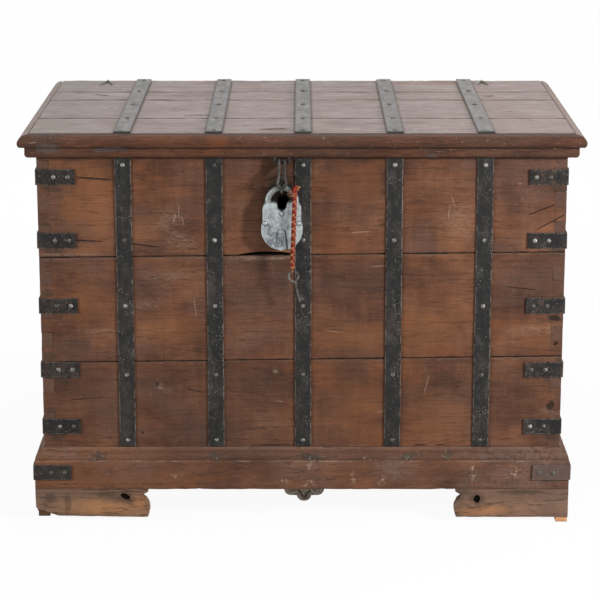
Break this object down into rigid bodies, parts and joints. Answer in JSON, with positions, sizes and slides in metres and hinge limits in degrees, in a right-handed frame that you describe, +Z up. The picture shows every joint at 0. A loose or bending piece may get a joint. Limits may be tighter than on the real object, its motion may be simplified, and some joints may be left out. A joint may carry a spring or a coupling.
{
  "type": "damchiya chest",
  "caption": "Iron-bound plank storage chest with a moulded lid, bracket feet, a hanging hasp, and a padlock that carries its key on a plaited cord.",
  "frame": {"origin": "on the floor, under the middle of the box round everything but the cord and its key", "axes": "+X to the right along the front, +Y from the front to the back, +Z up"},
  "size_m": [1.0404, 0.6745, 0.7554],
  "materials": {
    "case_wood": "aged, dry, satin",
    "foot_wood": "aged, dry",
    "shim_wood": "raw",
    "drop_wood": "weathered",
    "lid_wood": "weathered grey",
    "moulding_wood": "aged, worn edges",
    "strap_iron": "wrought, worn",
    "nail_iron": "worn heads",
    "lock_steel": "galvanised, worn",
    "key_steel": "tarnished",
    "cord_red": "plaited"
  },
  "bodies": {
    "case": {"front_plank_lower": "case_wood", "front_plank_middle": "case_wood", "front_plank_upper": "case_wood", "back_plank_lower": "case_wood", "back_plank_middle": "case_wood", "back_plank_upper": "case_wood", "left_plank_lower": "case_wood", "left_plank_middle": "case_wood", "left_plank_upper": "case_wood", "right_plank_lower": "case_wood", "right_plank_middle": "case_wood", "right_plank_upper": "case_wood", "floor_boards": "case_wood", "plinth_front": "case_wood", "plinth_left": "case_wood", "plinth_right": "case_wood", "foot_front_left": "foot_wood", "foot_front_right": "foot_wood", "foot_back_left": "foot_wood", "foot_back_right": "foot_wood", "levelling_shims": "shim_wood", "carved_drop": "drop_wood", "front_strap_1": "strap_iron", "front_strap_2": "strap_iron", "front_strap_3": "strap_iron", "front_strap_4": "strap_iron", "front_strap_5": "strap_iron", "corner_straps_front": "strap_iron", "corner_straps_back": "strap_iron", "case_nails": "nail_iron", "hinge_pins_case": "strap_iron", "lock_staple": "strap_iron"},
    "lid": {"lid_plank_1": "lid_wood", "lid_plank_2": "lid_wood", "lid_plank_3": "lid_wood", "lid_plank_4": "lid_wood", "lid_moulding_front": "moulding_wood", "lid_moulding_left": "moulding_wood", "lid_moulding_right": "moulding_wood", "lid_battens": "moulding_wood", "lid_strap_1": "strap_iron", "lid_strap_2": "strap_iron", "lid_strap_3": "strap_iron", "lid_strap_4": "strap_iron", "lid_strap_5": "strap_iron", "lid_nails": "nail_iron", "hinge_pins_lid": "strap_iron", "hasp_staple": "strap_iron"},
    "hasp": {"hasp": "strap_iron"},
    "shackle": {"padlock_shackle": "lock_steel"},
    "padlock": {"padlock_front_plate": "lock_steel", "padlock_back_shell": "lock_steel", "padlock_rivets": "lock_steel", "padlock_detent_spring": "lock_steel"},
    "bolt": {"padlock_bolt": "lock_steel"},
    "cover": {"keyhole_cover": "lock_steel"},
    "key_line": {"cord_knots": "cord_red", "key_cord": "cord_red", "key": "key_steel"}
  },
  "joints": [
    {"name": "lid_hinge", "type": "hinge", "parent": "case", "child": "lid", "pos_m": [0, 0.3244, 0.726], "axis": [-1, 0, 0], "range_deg": [0, 100]},
    {"name": "hasp_hinge", "type": "hinge", "parent": "lid", "child": "hasp", "pos_m": [-0.037, -0.3146, 0.696], "axis": [-1, 0, 0], "range_deg": [0, 100]},
    {"name": "lock_swing", "type": "hinge", "parent": "case", "child": "shackle", "pos_m": [-0.037, -0.3158, 0.6493], "axis": [-1, 0, 0], "range_deg": [0, 60]},
    {"name": "lock_open", "type": "hinge", "parent": "shackle", "child": "padlock", "pos_m": [-0.0631, -0.3158, 0.6072], "axis": [0, 1, 0], "range_deg": [0, 38]},
    {"name": "bolt_slide", "type": "slide", "parent": "padlock", "child": "bolt", "axis": [1, 0, 0], "range_m": [0, 0.0058]},
    {"name": "cover_swing", "type": "hinge", "parent": "padlock", "child": "cover", "pos_m": [-0.038, -0.3267, 0.5677], "axis": [0, 1, 0], "range_deg": [0, 90]},
    {"name": "key_swing", "type": "hinge", "parent": "shackle", "child": "key_line", "pos_m": [-0.01854, -0.3158, 0.64165], "axis": [-0.7071, 0, 0.7071], "range_deg": [0, 40]}
  ]
}
